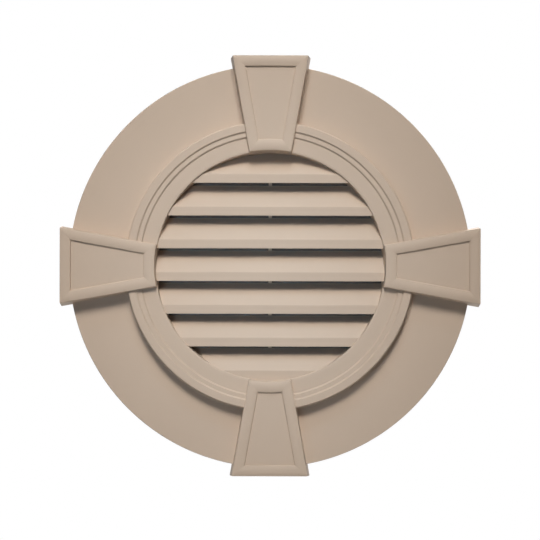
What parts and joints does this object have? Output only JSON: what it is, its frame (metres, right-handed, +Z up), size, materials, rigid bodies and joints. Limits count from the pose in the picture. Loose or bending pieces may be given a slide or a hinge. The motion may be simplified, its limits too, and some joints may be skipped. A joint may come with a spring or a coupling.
{
  "type": "gable vent",
  "caption": "Round louvred gable vent: a flat disc with a stepped ring and keystones, fixed sloping blades in the opening, and an insect screen behind them.",
  "frame": {"origin": "centre of the round opening, on the wall plane that the back rim rests against", "axes": "+Z up; +Y from the vent into the wall, so the front faces -Y; +X to the right seen from the front"},
  "size_m": [0.8252, 0.0635, 0.8252],
  "materials": {
    "tan_plastic": "moulded, fine matt",
    "screen_mesh": "charcoal woven mesh"
  },
  "bodies": {
    "root": {"vent_body": "tan_plastic", "insect_screen": "screen_mesh"}
  },
  "joints": []
}
